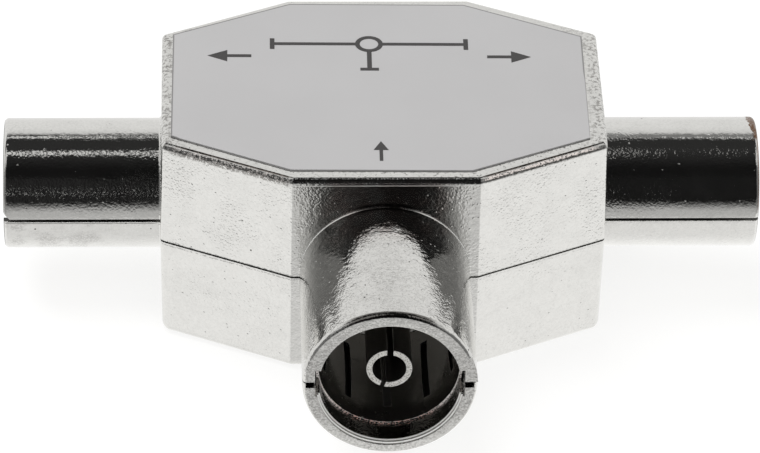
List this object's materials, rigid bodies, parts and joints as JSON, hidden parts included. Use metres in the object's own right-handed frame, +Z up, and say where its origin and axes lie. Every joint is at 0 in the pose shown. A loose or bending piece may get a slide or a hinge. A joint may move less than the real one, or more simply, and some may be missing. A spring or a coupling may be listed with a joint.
{
  "type": "aerial splitter",
  "caption": "T-shaped aerial signal splitter: a die-cast metal body with one coaxial socket in front and a coaxial plug on each side.",
  "frame": {"origin": "centre of the flat base, straight below the point where the three connector axes meet", "axes": "+X to the right plug, +Y to the back, away from the socket, +Z up to the label"},
  "size_m": [0.055, 0.0357, 0.017],
  "materials": {
    "nickel_casting": "bright nickel plate over a slightly grainy zinc casting",
    "label_foil": "satin silver-grey film",
    "label_ink": "matt dark grey print",
    "contact_nickel": "bright nickel plate on brass",
    "insulator": "natural white moulding",
    "board": "resin-bonded paper board",
    "copper_track": "tarnished copper",
    "solder": "bright tin solder",
    "ferrite": "dark matt sintered ferrite",
    "enamelled_wire": "clear enamel over copper",
    "resistor_coat": "beige lacquer",
    "capacitor_coat": "orange-brown lacquer"
  },
  "bodies": {
    "root": {"upper_shell": "nickel_casting", "lower_shell": "nickel_casting", "label": "label_foil", "label_print": "label_ink", "socket_sleeve": "contact_nickel", "socket_insulator": "insulator", "socket_contact": "contact_nickel", "left_pin": "contact_nickel", "left_insulator": "insulator", "right_pin": "contact_nickel", "right_insulator": "insulator", "circuit_board": "board", "board_tracks": "copper_track", "solder_joints": "solder", "matching_core": "ferrite", "matching_winding": "enamelled_wire", "splitting_core": "ferrite", "splitting_winding": "enamelled_wire", "balance_resistor": "resistor_coat", "input_capacitor": "capacitor_coat", "left_capacitor": "capacitor_coat", "right_capacitor": "capacitor_coat"}
  },
  "joints": []
}
